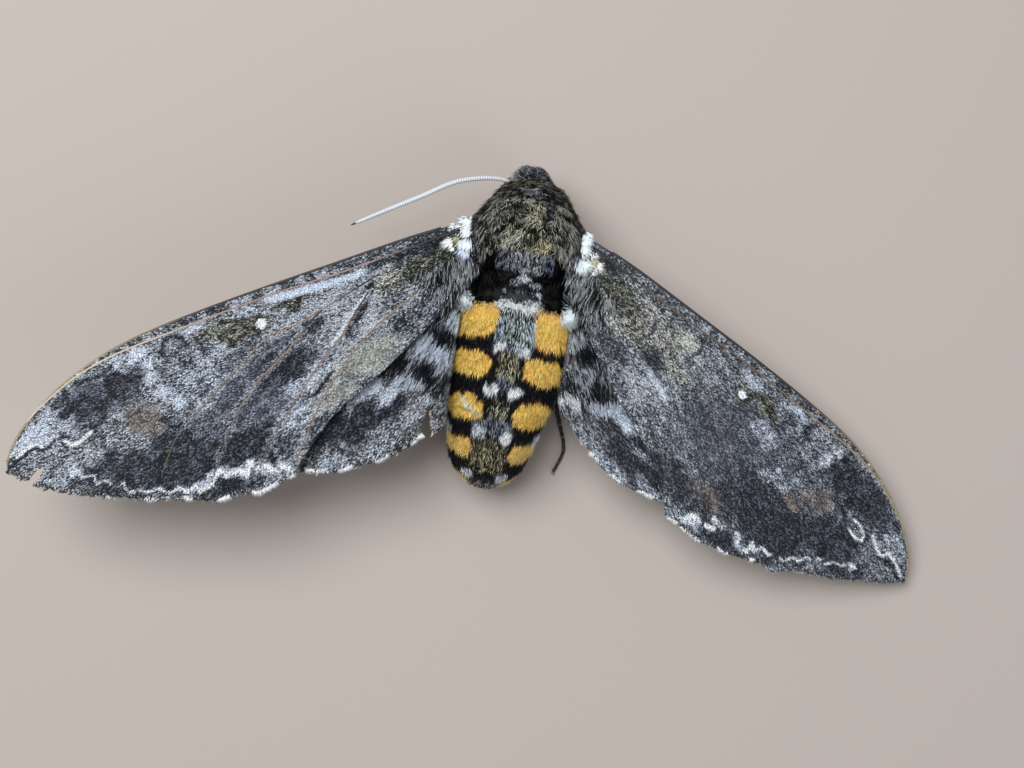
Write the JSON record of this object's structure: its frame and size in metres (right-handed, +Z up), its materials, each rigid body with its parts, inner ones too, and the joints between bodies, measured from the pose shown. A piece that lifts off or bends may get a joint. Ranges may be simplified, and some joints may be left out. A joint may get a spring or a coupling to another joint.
{
  "type": "hawk moth",
  "caption": "Life-size still model of a large grey hawk moth resting with half-open swept-back wings, its banded abdomen arched down to the ground.",
  "frame": {"origin": "On the ground, at the middle of the whole model's footprint.", "axes": "+Y runs forward to the head, +X towards the moth's right wing tip, +Z up."},
  "size_m": [0.0918, 0.0392, 0.0145],
  "materials": {
    "head_coat": "matte grey-black hair-like scales",
    "thorax_coat": "matte olive-grey hair-like scales",
    "black_coat": "velvet black scales",
    "abdomen_coat": "matte scales, orange spots between black bands",
    "forewing": "matte speckled grey scales",
    "hindwing": "matte grey and black banded scales",
    "antenna": "white-scaled, finely ringed",
    "leg": "matte dark grey scales",
    "tongue": "horny brown",
    "eye": "glossy dark brown"
  },
  "bodies": {
    "root": {"head": "head_coat", "eye_left": "eye", "eye_right": "eye", "antenna_left": "antenna", "antenna_right": "antenna", "palp_left": "head_coat", "palp_right": "head_coat", "tongue": "tongue", "collar": "thorax_coat", "thorax": "thorax_coat", "tegula_left": "thorax_coat", "tegula_right": "thorax_coat", "metathorax": "black_coat", "abdomen_1": "black_coat", "abdomen_2": "abdomen_coat", "abdomen_3": "abdomen_coat", "abdomen_4": "abdomen_coat", "abdomen_5": "abdomen_coat", "abdomen_6": "abdomen_coat", "abdomen_7": "abdomen_coat", "forewing_left": "forewing", "forewing_right": "forewing", "hindwing_left": "hindwing", "hindwing_right": "hindwing", "leg_front_left": "leg", "leg_front_right": "leg", "leg_mid_left": "leg", "leg_mid_right": "leg", "leg_hind_left": "leg", "leg_hind_right": "leg"}
  },
  "joints": []
}
